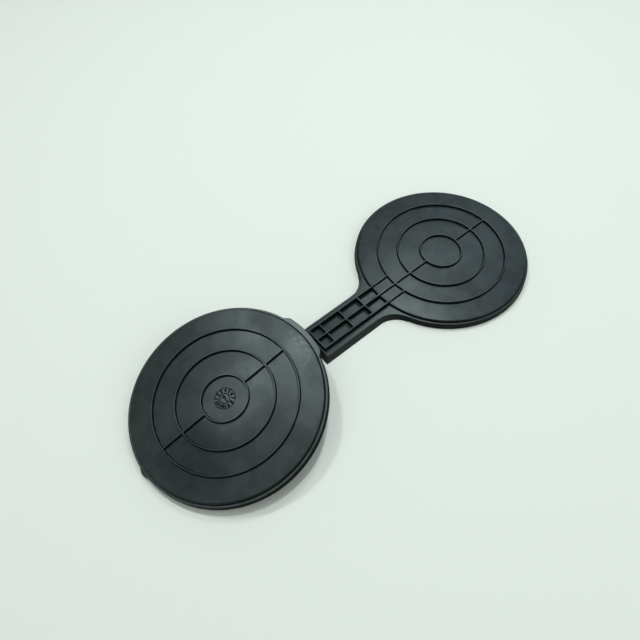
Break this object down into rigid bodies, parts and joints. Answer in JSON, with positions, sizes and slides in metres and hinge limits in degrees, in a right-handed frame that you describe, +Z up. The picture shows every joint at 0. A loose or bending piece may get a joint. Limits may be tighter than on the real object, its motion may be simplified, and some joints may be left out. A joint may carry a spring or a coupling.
{
  "type": "kick paddle",
  "caption": "Kick paddle in dark moulded plastic: a round disc with ring ribs on a short ribbed handle, and a matching disc hinged as a flap on the handle's end.",
  "frame": {"origin": "under the middle of the handle, on the plane that the grip paddle rests on", "axes": "+X along the handle towards the grip disc, +Z up out of the ribbed faces, Y across the handle"},
  "size_m": [0.4755, 0.191, 0.0403],
  "materials": {
    "tray_plastic": "satin moulded",
    "face_plastic": "satin moulded",
    "core_foam": "cut closed-cell foam",
    "screw_steel": "zinc plated",
    "pin_steel": "ground",
    "cap_plastic": "satin moulded"
  },
  "bodies": {
    "grip": {"grip_tray": "tray_plastic", "grip_face": "face_plastic", "grip_core": "core_foam", "grip_screws": "screw_steel"},
    "flap": {"flap_tray": "tray_plastic", "flap_face": "face_plastic", "flap_core": "core_foam", "flap_screws": "screw_steel", "hinge_pin": "pin_steel", "hinge_caps": "cap_plastic"}
  },
  "joints": [
    {"name": "flap_hinge", "type": "hinge", "parent": "grip", "child": "flap", "pos_m": [-0.05775, 0, 0.02385], "axis": [0, 1, 0], "range_deg": [0, 105]}
  ]
}
